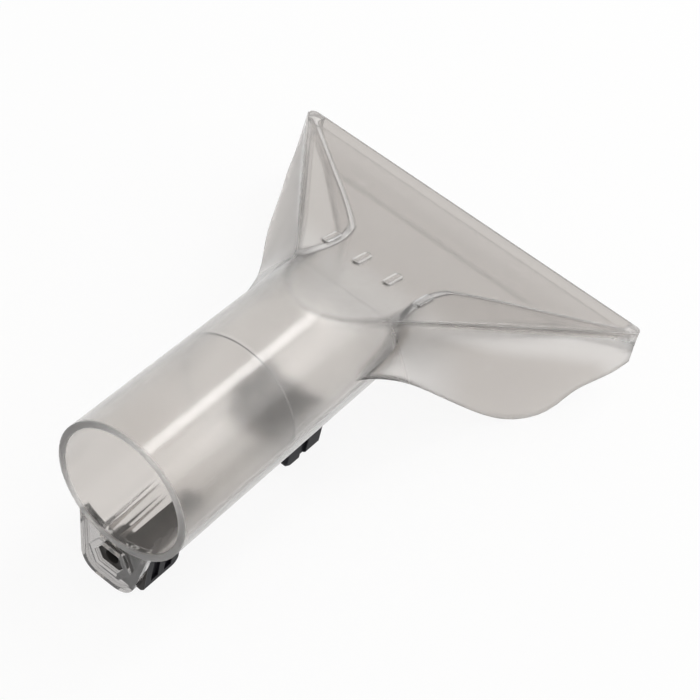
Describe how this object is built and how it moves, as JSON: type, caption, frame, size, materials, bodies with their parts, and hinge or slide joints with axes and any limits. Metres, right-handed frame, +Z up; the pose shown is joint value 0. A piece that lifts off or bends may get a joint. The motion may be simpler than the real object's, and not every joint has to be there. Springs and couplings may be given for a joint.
{
  "type": "upholstery washing nozzle",
  "caption": "Clear moulded suction head that flares from a round tube socket to a wide flat lip, with hanging side skirts and a spray jet fed by a water line under the tube.",
  "frame": {"origin": "centre of the suction socket's mouth", "axes": "+X to the right along the lip, +Y from the socket to the lip along the tube, +Z up, away from the skirts"},
  "size_m": [0.1142, 0.1451, 0.0539],
  "materials": {
    "clear_plastic": "satin",
    "black_plastic": "matt"
  },
  "bodies": {
    "root": {"nozzle_body": "clear_plastic", "inlet_block": "black_plastic", "feed_pipe": "clear_plastic", "spray_head": "black_plastic", "spray_jet": "black_plastic"}
  },
  "joints": []
}
